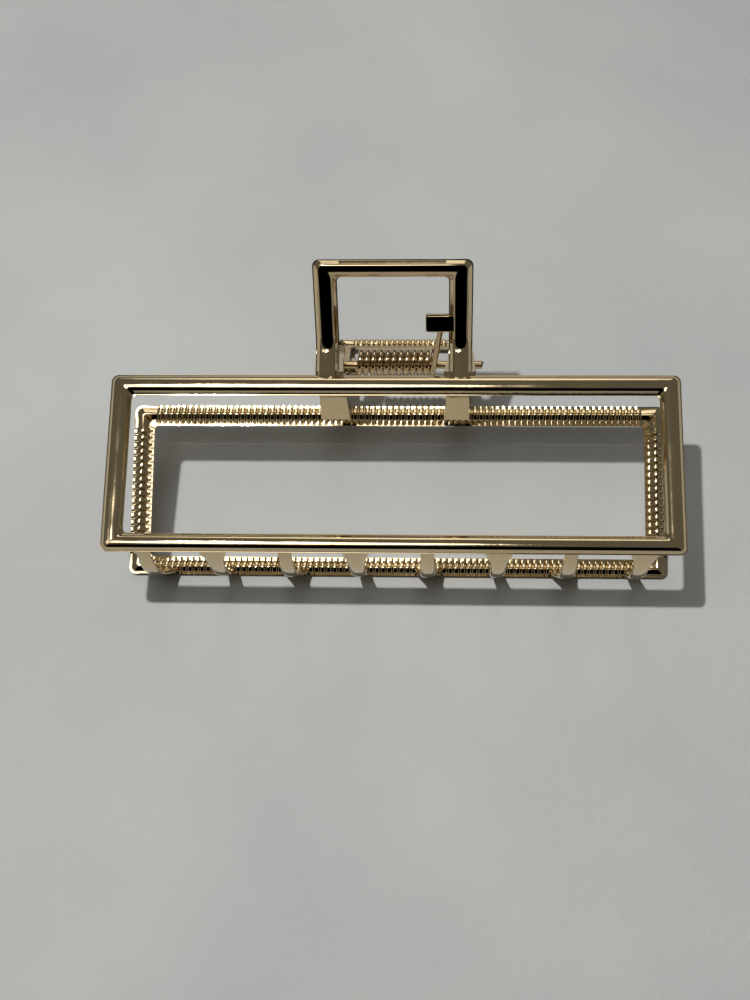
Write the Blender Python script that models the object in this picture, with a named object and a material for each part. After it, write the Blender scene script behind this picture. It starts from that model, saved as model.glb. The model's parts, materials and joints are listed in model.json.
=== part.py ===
"""Rectangular metal claw clip, closed and lying on its back jaw.

The clip is two identical castings, turned half a turn from each other, a plain
hinge pin through their four ears, and a torsion spring wound round the pin.

A casting is drawn in clip axes, in millimetres: x runs along the clip, u points
from the teeth to the finger loop and w is square to the plane between the jaws.
The casting drawn is the upper jaw, at positive w. The last step stands the clip
in the world: x along +X, u near +Y and w near +Z, resting on its lower jaw.
"""

import math

import bmesh
import bpy
from mathutils import Matrix, Vector

MM = 0.001

# ---- overall sizes, in millimetres ----
FRAME_WIDTH = 105.6        # along x, over the outer lips
FRAME_HEIGHT = 34.0        # along the jaw, over the outer lips
JAW_GAP_TOP = 11.6         # from the middle plane to the front of the top rail
JAW_GAP_BOTTOM = 13.5      # from the middle plane to the front of the bottom rail

# ---- rail section, shared by the frame and the finger loop ----
RAIL_WIDTH = 4.0           # top rail
SIDE_RAIL_WIDTH = 4.0
BOTTOM_RAIL_WIDTH = 3.5
RAIL_DEPTH = 1.2
CREST_RADIUS = 3.5         # of the gentle crown along the middle of the front
CREST_TILT = math.radians(14)
SHOULDER_RADIUS = 0.9      # from the crown down to the sloping sides
FLANGE_WIDTH = 0.2         # thin edge outside the sloping sides
FLANGE_THICKNESS = 0.12
LIP_OUTER = 0.42           # flat edge outside the bead along the back
LIP_INNER = 1.0            # flat edge inside it
BEAD_HEIGHT = 0.7          # of the bead along the back, above the flat edges
ARM_SINK = 0.5             # how far in front of the rail's back an arm starts
ARM_RISE = 0.12            # how far up the loop's neck it starts, as a share
CORNER_RADIUS_OUTER = 1.3
CORNER_RADIUS_MIDDLE = 0.35
CORNER_RADIUS_INNER = 0.9
CORNER_STEPS = 3

# ---- finger loop ----
LOOP_WIDTH = 29.2
POST_WIDTH = 4.4
LOOP_NECK = 5.27            # straight part above the top rail
LOOP_FLARE = 16.75         # length of the part that leans out
LOOP_LEAN = math.radians(49.2)
LOOP_BEND_RADIUS = 3.1
LOOP_ROOT = 1.9            # how far the posts run down into the top rail
LOOP_SINK = 0.12           # the posts' front lies this far under the rail's front
LOOP_BAR_WIDTH = 3.45      # the top bar is slimmer than the posts

# ---- hinge ----
PIN_U = 5.3                # the pin's axis above the top rail's outer lip
PIN_RADIUS = 0.75
PIN_CLEARANCE = 0.3
PIN_TAIL = 1.9             # cut end past the outer ear
PIN_HEAD = 0.35            # other end past the outer ear
PIN_EDGE = 0.2             # chamfer on both ends
EAR_WALL = 1.6             # metal round the pin
EAR_THICKNESS = 2.3
EAR_GAP = 0.3              # between neighbouring ears
EAR_INSET = 4.45           # inner ear's face, in from the loop's outer lip
ARM_SPREAD_OUT = 0.1       # an arm's root is wider than its outer ear by this
ARM_SPREAD_IN = 0.85       # and reaches this far inside the inner ear's face
ARM_TUCK = 0.25            # the other arm's root stays this far behind the post's outer lip
ARM_STEP = 0.4             # the wide part of an arm stops this far outside the neighbouring ear's gap

# ---- spring ----
WIRE_RADIUS = 0.55
WIRE_SIDES = 8
COIL_PLAY = 0.85           # between the pin and the inside of the coil, when centred
COIL_SIDE_GAP = 2.4        # between the coil and the inner ears
COIL_PITCH = 1.29
COIL_STEPS = 16            # per turn
LEG_INSET = 1.1            # a leg ends this far from the post, behind its lug
LEG_CLEARANCE = 0.3

# ---- spring lug on the finger loop ----
LUG_START = 2.4            # along the leaning part of the loop, from its bend
LUG_LENGTH = 3.4
LUG_REACH = 4.3            # from the post's inner edge towards the middle
LUG_THICKNESS = 1.5
LUG_BEVEL = 0.35
LUG_SINK = 0.25

# ---- teeth ----
TEETH_PER_JAW = 4
TOOTH_END = 7.3            # middle of the last tooth, in from the frame's end
TOOTH_DIP = 2.0            # lowest part of a tooth under the frame's bottom edge
TOOTH_WIDTH = 2.9
TOOTH_ROOT_WIDTH = 5.6
TOOTH_TIP_WIDTH = 2.3
TOOTH_THICKNESS = 1.2
TOOTH_TIP_GAP = 1.6        # from a tip to the inside of the other jaw's rail
TOOTH_TIP_RISE = 0.4       # a tip ends this far above the frame's bottom edge
TOOTH_STEPS = 14
TOOTH_SIDES = 10

# ---- values worked out from the sizes above ----
JAW_LEAN = math.asin((JAW_GAP_BOTTOM - JAW_GAP_TOP) / FRAME_HEIGHT)
FRAME_BOTTOM_U = -FRAME_HEIGHT * math.cos(JAW_LEAN)
POST_INNER = LOOP_WIDTH / 2 - POST_WIDTH
EAR_RADIUS = PIN_RADIUS + EAR_WALL
EAR_INNER = LOOP_WIDTH / 2 - EAR_INSET
EAR_OUTER = EAR_INNER + 2 * EAR_THICKNESS + EAR_GAP
COIL_RADIUS = PIN_RADIUS + COIL_PLAY + WIRE_RADIUS
COIL_U = PIN_U + COIL_PLAY - PIN_CLEARANCE
COIL_HALF_LENGTH = EAR_INNER - COIL_SIDE_GAP - WIRE_RADIUS
COIL_TURNS = int(2 * COIL_HALF_LENGTH / COIL_PITCH)
TOOTH_PITCH = (FRAME_WIDTH - 2 * TOOTH_END) / (2 * TEETH_PER_JAW - 1)
TOOTH_REACH = JAW_GAP_BOTTOM - RAIL_DEPTH - TOOTH_TIP_GAP
OVERLAP = 0.02             # solids that are joined later run into each other by this


def jaw_point(x, down, height):
    """Frame coordinates to clip axes: down from the top edge, height above the back of the rail."""
    front = height - RAIL_DEPTH
    u = -down * math.cos(JAW_LEAN) + front * math.sin(JAW_LEAN)
    w = JAW_GAP_TOP + down * math.sin(JAW_LEAN) + front * math.cos(JAW_LEAN)
    return Vector((x, u, w))


def dome_point(tilt):
    """Where a rail's rounded front leans outwards by this angle, as (across, height)."""
    crest = min(abs(tilt), CREST_TILT)
    side = CREST_RADIUS * math.sin(crest) + SHOULDER_RADIUS * (math.sin(abs(tilt)) - math.sin(crest))
    drop = CREST_RADIUS * (1 - math.cos(crest)) + SHOULDER_RADIUS * (math.cos(crest) - math.cos(tilt))
    return RAIL_WIDTH / 2 - math.copysign(side, tilt), RAIL_DEPTH - drop


def rail_profile():
    """Section of a rail as (across, height), from the outer edge over the front to the bead."""
    points = [(0.0, 0.0), (0.0, FLANGE_THICKNESS), (FLANGE_WIDTH, FLANGE_THICKNESS)]
    points += [dome_point(math.radians(tilt)) for tilt in (55, 35, 14, 0, -14, -35, -55)]
    points += [(RAIL_WIDTH - across, height) for across, height in reversed(points[:3])]
    start, end = RAIL_WIDTH - LIP_INNER, LIP_OUTER
    points.append((start, 0.0))
    for share, rise in ((0.12, 0.46), (0.31, 0.87), (0.5, 1.0), (0.69, 0.87), (0.88, 0.46)):
        points.append((start + (end - start) * share, -BEAD_HEIGHT * rise))
    points.append((end, 0.0))
    return points


def corner_radius(across):
    """Corner radius of the ring that lies this far in from the outer edge."""
    middle = CORNER_RADIUS_MIDDLE
    share = across / RAIL_WIDTH
    if share < 0.5:
        return CORNER_RADIUS_OUTER + (middle - CORNER_RADIUS_OUTER) * share * 2
    return middle + (CORNER_RADIUS_INNER - middle) * (share * 2 - 1)


def corner_arc(centre_x, centre_y, radius, start_turn):
    """Quarter circle, in steps, starting at this many quarter turns from +x."""
    points = []
    for step in range(CORNER_STEPS + 1):
        angle = (start_turn + step / CORNER_STEPS) * math.pi / 2
        points.append((centre_x + radius * math.cos(angle), centre_y + radius * math.sin(angle)))
    return points


def frame_ring(across):
    """Rounded rectangle, as (x, down), this far across the top rail and in proportion across the others."""
    radius = corner_radius(across)
    half = FRAME_WIDTH / 2 - across * SIDE_RAIL_WIDTH / RAIL_WIDTH - radius
    low = across + radius
    high = FRAME_HEIGHT - across * BOTTOM_RAIL_WIDTH / RAIL_WIDTH - radius
    ring = []
    ring += corner_arc(half, high, radius, 0)
    ring += corner_arc(-half, high, radius, 1)
    ring += corner_arc(-half, low, radius, 2)
    ring += corner_arc(half, low, radius, 3)
    return ring


def skin(mesh, rows, close_rows, cap_ends):
    """Faces between rows of points. Rows are joined in order, and each row is a closed loop."""
    verts = [[mesh.verts.new(point) for point in row] for row in rows]
    count = len(verts[0])
    pairs = list(zip(verts, verts[1:]))
    if close_rows:
        pairs.append((verts[-1], verts[0]))
    for one, two in pairs:
        for i in range(count):
            j = (i + 1) % count
            mesh.faces.new((one[i], one[j], two[j], two[i]))
    if cap_ends:
        mesh.faces.new(list(reversed(verts[0])))
        mesh.faces.new(verts[-1])


def add_frame(mesh):
    rings = []
    for across, height in rail_profile():
        rings.append([jaw_point(x, down, height) for x, down in frame_ring(across)])
    skin(mesh, rings, close_rows=True, cap_ends=False)


def loop_point(x, along, height):
    """Finger loop coordinates to clip axes: along the bent post from the top rail's edge."""
    bend_length = LOOP_BEND_RADIUS * LOOP_LEAN
    bend_start = LOOP_NECK - bend_length / 2
    lean = JAW_LEAN * -1
    if along <= bend_start:
        origin, angle, run = Vector((0.0, 0.0)), lean, along
    elif along < bend_start + bend_length:
        angle = lean + (along - bend_start) / LOOP_BEND_RADIUS
        origin, run = bend_origin(bend_start, lean, angle), 0.0
    else:
        angle = lean + LOOP_LEAN
        origin, run = bend_origin(bend_start, lean, angle), along - bend_start - bend_length
    front = height - RAIL_DEPTH - LOOP_SINK
    u = origin.x + run * math.cos(angle) - front * math.sin(angle)
    w = origin.y + run * math.sin(angle) + front * math.cos(angle)
    return Vector((x, u, JAW_GAP_TOP + w))


def bend_origin(bend_start, lean, angle):
    """Where the front of the post is when its bend has turned to this angle."""
    u = bend_start * math.cos(lean) + LOOP_BEND_RADIUS * (math.sin(angle) - math.sin(lean))
    w = bend_start * math.sin(lean) - LOOP_BEND_RADIUS * (math.cos(angle) - math.cos(lean))
    return Vector((u, w))


def loop_path(across):
    """Half-hoop, as (x, along): up one post, over the top bar and down the other."""
    radius = corner_radius(across)
    half = LOOP_WIDTH / 2 - across * POST_WIDTH / RAIL_WIDTH
    top = LOOP_NECK + LOOP_FLARE - across * LOOP_BAR_WIDTH / RAIL_WIDTH
    bend_length = LOOP_BEND_RADIUS * LOOP_LEAN
    stations = [-LOOP_ROOT]
    stations += [LOOP_NECK + bend_length * (step / 4 - 0.5) for step in range(5)]
    path = [(half, along) for along in stations]
    path += corner_arc(half - radius, top - radius, radius, 0)
    path += corner_arc(-half + radius, top - radius, radius, 1)
    path += [(-half, along) for along in reversed(stations)]
    return path


def add_loop(mesh):
    profile = rail_profile()
    paths = [loop_path(across) for across, _ in profile]
    rows = []
    for station in range(len(paths[0])):
        row = []
        for path, (_, height) in zip(paths, profile):
            x, along = path[station]
            row.append(loop_point(x, along, height))
        rows.append(row)
    skin(mesh, rows, close_rows=False, cap_ends=True)


def ear_outline():
    """Outline of an arm as (u, w): round the pin, then out to the back of the top rail and the neck."""
    root_low = jaw_point(0, RAIL_WIDTH - LIP_INNER, ARM_SINK)
    root_high = loop_point(0, LOOP_NECK * ARM_RISE, ARM_SINK)
    outline = [(root_high.y, root_high.z), (root_low.y, root_low.z)]
    mouth = jaw_point(0, RAIL_WIDTH - LIP_INNER, 0)
    outline.append((mouth.y, mouth.z))
    low_angle = tangent_angle(mouth.y, mouth.z, 1)
    high_angle = tangent_angle(root_high.y, root_high.z, -1)
    low_angle -= 2 * math.pi
    steps = 10
    for step in range(steps + 1):
        angle = low_angle + (high_angle - low_angle) * step / steps
        outline.append((PIN_U + EAR_RADIUS * math.cos(angle), EAR_RADIUS * math.sin(angle)))
    return outline


def tangent_angle(u, w, side):
    """Angle on the ear's circle where the straight edge from (u, w) touches it."""
    away = math.hypot(u - PIN_U, w)
    return math.atan2(w, u - PIN_U) + side * math.acos(EAR_RADIUS / away)


def add_prism(mesh, outline, x_low, x_high):
    rows = [[Vector((x, u, w)) for u, w in outline] for x in (x_low, x_high)]
    skin(mesh, rows, close_rows=False, cap_ends=True)


def add_gusset(mesh, x_low, x_high, ear_low, ear_high):
    """Wide root of an arm. It narrows towards the pin and stops clear of the neighbouring ear."""
    outline = ear_outline()
    root_high, root_low, mouth = outline[:3]
    stop = EAR_RADIUS + EAR_GAP + ARM_STEP
    centre = Vector((PIN_U, 0.0))
    low_edge = Vector(outline[3])
    high_edge = Vector(outline[-1])
    near = []
    for point, edge in ((Vector(mouth), low_edge), (Vector(root_high), high_edge)):
        direction = (edge - point).normalized()
        run = (edge - point).length - math.sqrt(stop ** 2 - EAR_RADIUS ** 2)
        near.append(point + direction * run)
    middle = (near[0] + near[1]) / 2
    middle = centre + (middle - centre).normalized() * stop
    root = [Vector(root_high), Vector(root_low), Vector(mouth)]
    narrow = (near[0], middle, near[1])
    rows = []
    for low, high in ((x_low, ear_low), (x_high, ear_high)):
        row = [Vector((low, p.x, p.y)) for p in root]
        row += [Vector((high, p.x, p.y)) for p in narrow]
        rows.append(row)
    skin(mesh, rows, close_rows=False, cap_ends=True)


def add_arms(mesh):
    """The arm at +x carries the outer ear, and the arm at -x the inner one."""
    outline = ear_outline()
    add_prism(mesh, outline, EAR_OUTER - EAR_THICKNESS, EAR_OUTER)
    add_prism(mesh, outline, -EAR_INNER - EAR_THICKNESS, -EAR_INNER)
    root_in = EAR_INNER - ARM_SPREAD_IN
    root_out = EAR_OUTER + ARM_SPREAD_OUT
    tucked = LOOP_WIDTH / 2 - ARM_TUCK
    add_gusset(mesh, root_in, root_out, EAR_INNER, EAR_OUTER + OVERLAP)
    add_gusset(mesh, -tucked, -root_in, -tucked + ARM_SPREAD_OUT, -EAR_INNER + OVERLAP)


def add_lug(mesh):
    """Block on the inner side of the post at +x, which the spring's leg pushes."""
    x_high = POST_INNER + POST_WIDTH / 2
    x_low = POST_INNER - LUG_REACH
    along = LOOP_NECK + LUG_START
    top = RAIL_DEPTH - LUG_SINK
    rows = []
    for height, inset in (
        (top - LUG_THICKNESS, LUG_BEVEL), (top - LUG_THICKNESS + LUG_BEVEL, 0.0),
        (top - LUG_BEVEL, 0.0), (top, LUG_BEVEL),
    ):
        corners = (
            (x_low + inset, along + inset), (x_high, along + inset),
            (x_high, along + LUG_LENGTH - inset), (x_low + inset, along + LUG_LENGTH - inset),
        )
        rows.append([loop_point(x, run, height) for x, run in corners])
    skin(mesh, rows, close_rows=False, cap_ends=True)


def tooth_line(share):
    """Middle line of a tooth as (u, w), from inside the bottom rail to the tip past the middle plane."""
    start = jaw_point(0, FRAME_HEIGHT - RAIL_WIDTH * 0.28, RAIL_DEPTH * 0.1)
    lowest = FRAME_BOTTOM_U - TOOTH_DIP + TOOTH_THICKNESS / 2
    w = start.z + (-TOOTH_REACH - start.z) * share
    swing = start.z if w > 0 else TOOTH_REACH
    rise = start.y - lowest if w > 0 else TOOTH_DIP + TOOTH_TIP_RISE
    return lowest + rise * abs(w / swing) ** 2.2, w


def tooth_width(share):
    """Flared root, even middle, narrower tip."""
    flare = (TOOTH_ROOT_WIDTH - TOOTH_WIDTH) * math.exp(-((share / 0.16) ** 2))
    narrow = (TOOTH_WIDTH - TOOTH_TIP_WIDTH) * max(0.0, (share - 0.5) / 0.5) ** 1.5
    return TOOTH_WIDTH + flare - narrow


def add_tooth(mesh, x_middle):
    """Curved tooth, crowned on its outer side, with a rounded tip."""
    rows = []
    for step in range(TOOTH_STEPS + 2):
        at_tip = step > TOOTH_STEPS
        share = min(step / TOOTH_STEPS, 1.0)
        scale = 0.45 if at_tip else 1.0
        here, ahead = Vector(tooth_line(share)), Vector(tooth_line(share + 0.01))
        travel = (ahead - here).normalized()
        across = Vector((travel.y, -travel.x))
        if at_tip:
            here = here + travel * TOOTH_THICKNESS * 0.5
        row = []
        for side in range(TOOTH_SIDES):
            angle = 2 * math.pi * side / TOOTH_SIDES
            x = math.cos(angle) * tooth_width(share) / 2 * scale
            y = math.sin(angle) * TOOTH_THICKNESS / 2 * scale
            point = here + across * y
            row.append(Vector((x_middle + x, point.x, point.y)))
        rows.append(row)
    skin(mesh, rows, close_rows=False, cap_ends=True)


def tooth_positions():
    """Every second place in a row of evenly spaced places that is centred on the clip."""
    places = TEETH_PER_JAW * 2
    first = -(places - 1) / 2
    return [(first + 2 * index + 1) * TOOTH_PITCH for index in range(TEETH_PER_JAW)]


def cylinder_rows(radius, x_low, x_high, sides):
    rows = []
    for x in (x_low, x_high):
        row = []
        for side in range(sides):
            angle = 2 * math.pi * side / sides
            row.append(Vector((x, PIN_U + radius * math.cos(angle), radius * math.sin(angle))))
        rows.append(row)
    return rows


def finish_mesh(name, mesh, sharp_degrees=35):
    """Millimetres about the clip's origin become metres about the pin's axis."""
    bmesh.ops.translate(mesh, verts=mesh.verts, vec=(0.0, -PIN_U, 0.0))
    bmesh.ops.scale(mesh, verts=mesh.verts, vec=(MM, MM, MM))
    bmesh.ops.recalc_face_normals(mesh, faces=mesh.faces)
    data = bpy.data.meshes.new(name)
    mesh.to_mesh(data)
    mesh.free()
    data.shade_smooth()
    data.set_sharp_from_angle(angle=math.radians(sharp_degrees))
    return data


def casting_mesh():
    mesh = bmesh.new()
    add_frame(mesh)
    add_loop(mesh)
    add_arms(mesh)
    add_lug(mesh)
    for x_middle in tooth_positions():
        add_tooth(mesh, x_middle)
    return finish_mesh("casting", mesh)


def bore_mesh():
    mesh = bmesh.new()
    reach = EAR_OUTER + 3.0
    skin(mesh, cylinder_rows(PIN_RADIUS + PIN_CLEARANCE, -reach, reach, 24), False, True)
    return finish_mesh("bore", mesh)


def pin_mesh():
    mesh = bmesh.new()
    sides = 20
    low, high = -EAR_OUTER - PIN_HEAD, EAR_OUTER + PIN_TAIL
    shaft = cylinder_rows(PIN_RADIUS, low + PIN_EDGE, high - PIN_EDGE, sides)
    first, last = cylinder_rows(PIN_RADIUS - PIN_EDGE, low, high, sides)
    skin(mesh, [first] + shaft + [last], close_rows=False, cap_ends=True)
    return finish_mesh("hinge_pin", mesh)


def leg_end():
    """Where the spring's leg ends, as (u, w), just behind the lug on the upper jaw."""
    back = RAIL_DEPTH - LUG_SINK - LUG_THICKNESS - WIRE_RADIUS - LEG_CLEARANCE
    point = loop_point(0, LOOP_NECK + LUG_START + LUG_LENGTH * 0.55, back)
    return point.y, point.z


def spring_line():
    """Middle line of the wire in clip axes: lower leg, coil, upper leg."""
    end_u, end_w = leg_end()
    away = math.hypot(end_u - COIL_U, end_w)
    touch = math.atan2(end_w, end_u - COIL_U) + math.acos(COIL_RADIUS / away)
    leave = 2 * math.pi - touch
    total = leave - touch + 2 * math.pi * COIL_TURNS
    leg_x = POST_INNER - LEG_INSET
    line = [Vector((-leg_x, end_u, -end_w))]
    count = COIL_TURNS * COIL_STEPS
    for step in range(count + 1):
        share = step / count
        angle = touch + total * (1 - share)
        x = COIL_HALF_LENGTH * (2 * share - 1)
        u = COIL_U + COIL_RADIUS * math.cos(angle)
        line.append(Vector((x, u, COIL_RADIUS * math.sin(angle))))
    line.append(Vector((leg_x, end_u, end_w)))
    return line


def spring_mesh():
    line = spring_line()
    mesh = bmesh.new()
    rows = []
    side = Vector((1.0, 0.0, 0.0))
    for index, point in enumerate(line):
        before = line[max(index - 1, 0)]
        after = line[min(index + 1, len(line) - 1)]
        travel = (after - before).normalized()
        one = (side - travel * side.dot(travel)).normalized()
        two = travel.cross(one)
        row = []
        for step in range(WIRE_SIDES):
            angle = 2 * math.pi * step / WIRE_SIDES
            row.append(point + WIRE_RADIUS * (one * math.cos(angle) + two * math.sin(angle)))
        rows.append(row)
    skin(mesh, rows, close_rows=False, cap_ends=True)
    return finish_mesh("torsion_spring", mesh, sharp_degrees=60)


def metal(name, colour, roughness):
    material = bpy.data.materials.new(name)
    material.use_nodes = True
    shader = material.node_tree.nodes["Principled BSDF"]
    shader.inputs["Base Color"].default_value = (*colour, 1.0)
    shader.inputs["Metallic"].default_value = 1.0
    shader.inputs["Roughness"].default_value = roughness
    material.diffuse_color = (*colour, 1.0)
    return material


def place(name, data, material, parent):
    piece = bpy.data.objects.new(name, data)
    bpy.context.scene.collection.objects.link(piece)
    piece.data.materials.clear()
    piece.data.materials.append(material)
    piece.parent = parent
    return piece


def add_empty(name, parent=None):
    empty = bpy.data.objects.new(name, None)
    bpy.context.scene.collection.objects.link(empty)
    empty.parent = parent
    return empty


def cut_bore(piece, cutter):
    """Joins the casting's solids into one and cuts the pin's bore through its ears."""
    bore = piece.modifiers.new("pin_bore", "BOOLEAN")
    bore.operation = "DIFFERENCE"
    bore.solver = "EXACT"
    bore.use_self = True
    bore.object = cutter


def stand_on_floor(root, pieces):
    """Moves the clip so that its box is centred on the origin and stands on the floor."""
    bpy.context.view_layer.update()
    graph = bpy.context.evaluated_depsgraph_get()
    corners = []
    for piece in pieces:
        shape = piece.evaluated_get(graph)
        corners += [shape.matrix_world @ vert.co for vert in shape.data.vertices]
    for axis in (0, 1):
        low = min(corner[axis] for corner in corners)
        high = max(corner[axis] for corner in corners)
        root.location[axis] -= (low + high) / 2
    root.location.z -= min(corner.z for corner in corners)


def resting_lean():
    """Angle between the middle plane and the floor, with the lower jaw's loop and bottom rail down."""
    tip = loop_point(0, LOOP_NECK + LOOP_FLARE, RAIL_DEPTH * 0.5)
    edge = jaw_point(0, FRAME_HEIGHT, RAIL_DEPTH * 0.5)
    return math.atan2(tip.z - edge.z, tip.y - edge.y)


def main():
    for piece in list(bpy.data.objects):
        bpy.data.objects.remove(piece)

    clip = add_empty("clip_axes")
    clip.rotation_euler.x = resting_lean()
    hinge = add_empty("hinge_axis", clip)

    cutter = place("bore_cutter", bore_mesh(), metal("guide", (0.5, 0.5, 0.5), 0.5), clip)
    cutter.hide_render = True
    cutter.display_type = "WIRE"

    plated = (0.93, 0.76, 0.48)
    front = place("front_jaw", casting_mesh(), metal("front_jaw_plating", plated, 0.12), hinge)
    back = place("back_jaw", casting_mesh(), metal("back_jaw_plating", plated, 0.13), clip)
    back.rotation_euler.y = math.pi
    for jaw in (front, back):
        cut_bore(jaw, cutter)
    pin = place("hinge_pin", pin_mesh(), metal("pin_plating", (0.86, 0.70, 0.46), 0.2), clip)
    spring = place("torsion_spring", spring_mesh(), metal("spring_plating", (0.88, 0.68, 0.44), 0.2), clip)
    stand_on_floor(clip, [front, back, pin, spring])


main()
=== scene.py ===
import json
import math

import bpy
import numpy as np
from mathutils import Euler, Matrix, Vector, noise


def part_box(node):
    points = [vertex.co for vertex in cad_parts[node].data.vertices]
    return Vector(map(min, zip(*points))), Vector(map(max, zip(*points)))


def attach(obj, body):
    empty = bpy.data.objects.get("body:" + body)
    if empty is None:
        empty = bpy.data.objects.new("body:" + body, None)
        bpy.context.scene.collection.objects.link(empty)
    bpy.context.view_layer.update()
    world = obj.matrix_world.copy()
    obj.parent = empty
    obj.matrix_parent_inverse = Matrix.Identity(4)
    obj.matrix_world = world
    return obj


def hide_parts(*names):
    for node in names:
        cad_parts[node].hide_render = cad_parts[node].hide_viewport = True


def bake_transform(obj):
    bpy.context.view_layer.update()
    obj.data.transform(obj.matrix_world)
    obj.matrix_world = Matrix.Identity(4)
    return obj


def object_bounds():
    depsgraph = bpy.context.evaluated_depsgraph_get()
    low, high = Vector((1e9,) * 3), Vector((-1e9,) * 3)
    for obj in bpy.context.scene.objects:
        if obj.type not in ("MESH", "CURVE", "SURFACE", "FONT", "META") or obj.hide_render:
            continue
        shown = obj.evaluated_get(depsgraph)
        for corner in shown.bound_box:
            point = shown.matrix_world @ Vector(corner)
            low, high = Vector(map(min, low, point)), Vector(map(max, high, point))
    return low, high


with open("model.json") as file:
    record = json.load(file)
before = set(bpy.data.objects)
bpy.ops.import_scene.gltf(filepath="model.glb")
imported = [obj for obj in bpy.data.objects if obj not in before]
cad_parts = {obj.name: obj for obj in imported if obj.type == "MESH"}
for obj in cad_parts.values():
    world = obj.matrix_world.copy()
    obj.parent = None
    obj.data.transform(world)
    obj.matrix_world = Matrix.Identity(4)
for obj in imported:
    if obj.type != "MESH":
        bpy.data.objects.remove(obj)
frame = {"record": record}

CAD_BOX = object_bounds()
MM = 0.001
FULL_TURN = 2 * math.pi

# ---- sizes of the clip, in millimetres, as in the CAD model ----
FRAME_WIDTH = 105.6
FRAME_HEIGHT = 34.0
JAW_GAP_TOP = 11.6
JAW_GAP_BOTTOM = 13.5
RAIL_WIDTH = 4.0
SIDE_RAIL_WIDTH = 4.0
BOTTOM_RAIL_WIDTH = 3.5
RAIL_DEPTH = 1.2
LIP_OUTER = 0.42
LIP_INNER = 1.0
BEAD_HEIGHT = 0.7
ARM_SINK = 0.5
ARM_RISE = 0.12
CREST_RADIUS = 3.5
CREST_TILT = math.radians(14)
SHOULDER_RADIUS = 0.9
FLANGE_WIDTH = 0.2
FLANGE_THICKNESS = 0.12
CORNER_RADIUS_OUTER = 1.3
CORNER_RADIUS_MIDDLE = 0.35
CORNER_RADIUS_INNER = 0.9
LOOP_WIDTH = 29.2
POST_WIDTH = 4.4
LOOP_NECK = 5.27
LOOP_FLARE = 16.75
LOOP_LEAN = math.radians(49.2)
LOOP_BEND_RADIUS = 3.1
LOOP_ROOT = 1.9
LOOP_SINK = 0.12
LOOP_BAR_WIDTH = 3.45
PIN_U = 5.3
PIN_RADIUS = 0.75
PIN_CLEARANCE = 0.3
PIN_TAIL = 1.9
PIN_HEAD = 0.35
EAR_WALL = 1.6
EAR_THICKNESS = 2.3
EAR_GAP = 0.3
EAR_INSET = 4.45
ARM_SPREAD_OUT = 0.1
ARM_SPREAD_IN = 0.85
ARM_TUCK = 0.25
ARM_STEP = 0.4
WIRE_RADIUS = 0.55
COIL_PLAY = 0.85
COIL_SIDE_GAP = 2.4
COIL_PITCH = 1.29
LEG_INSET = 1.1
LEG_CLEARANCE = 0.3
LUG_START = 2.4
LUG_LENGTH = 3.4
LUG_REACH = 4.3
LUG_THICKNESS = 1.5
LUG_BEVEL = 0.35
LUG_SINK = 0.25
TEETH_PER_JAW = 4
TOOTH_END = 7.3
TOOTH_DIP = 2.0
TOOTH_WIDTH = 2.9
TOOTH_ROOT_WIDTH = 5.6
TOOTH_TIP_WIDTH = 2.3
TOOTH_THICKNESS = 1.2
TOOTH_TIP_GAP = 1.6
TOOTH_TIP_RISE = 0.4

# ---- fine detail that only this model has ----
RIB_PITCH_ALONG = 1.2      # in the long rails
RIB_PITCH_SIDE = 1.45      # in the short rails
RIB_PITCH_LOOP = 1.1
RIB_SWELL = 0.03           # crowning of the ribs' tops
RIB_GROOVE = 0.26          # depth of the groove between two ribs
RIB_GROOVE_WIDTH = 0.16
RIB_STEPS = (0.0, 0.15, 0.3, 0.47, 0.67, 1.0)  # stations from a groove to the middle of a rib
RIB_ON_LIP = 0.35          # share of the relief that is left on the lips beside the bead
BEAD_STEPS = 11            # stations from the bead's crest to its foot
FLANK_LEAN = math.radians(25)  # of the bead's flattened flanks
FLANK_START = 0.35         # shares of the bead's half width where the flank begins and ends
FLANK_END = 0.8
FOOT_SHARE = 0.2           # of the half width, beyond the flank
FOOT_LEAN = math.radians(68)
FOOT_GAP_INNER = 0.14      # from the bead's foot to the last flat point of each lip
FOOT_GAP_OUTER = 0.16
FOOT_DEPTH = 0.02          # of the inner lip's last point, so that the groove's edge shows
FLANGE_ROUNDING = 0.05
FLANGE_HOLLOW = 0.15       # rounding where the thin flange meets the dome
DOME_TILTS = (55, 51, 46, 40, 34, 28, 21, 14, 9, 4, 0)  # stations over the rounded front, in degrees
CORNER_STEPS = 6
LOOP_START = 0.3           # first station of a post above the top rail's edge
EAR_STEPS = 32
EAR_EDGE = 0.18            # rounding of the arm plates' edges
EAR_OVERLAP = 0.02         # so that an arm's root joins its ear
BORE_SIDES = 48
BORE_OVERRUN = 3.0
TOOTH_STEPS = 56
TOOTH_SIDES = 28
TOOTH_SWEEP = 2.2          # power of the tooth's curve
TOOTH_FLARE_SHARE = 0.16   # of the tooth's length
TOOTH_LOOK_AHEAD = 0.01
CAST_WAVE = 0.012          # slow waviness of the polished casting
WAVE_SCALE = 0.22          # waves per millimetre
PIN_SIDES = 40
WIRE_SIDES = 20
WIRE_END_BEVEL = 0.08
COIL_STEPS = 48            # stations in a turn
LEG_STEPS = 12

# ---- shading ----
CASTING_CREASE = 38        # edges sharper than this, in degrees, stay sharp
PIN_CREASE = 40
SPRING_CREASE = 60
GOLD = (0.72, 0.57, 0.35)
PIN_TINT = (0.70, 0.52, 0.31)
SPRING_TINT = (0.75, 0.58, 0.36)
TABLE_DARK = (0.475, 0.487, 0.50)
TABLE_LIGHT = (0.575, 0.585, 0.58)

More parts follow.
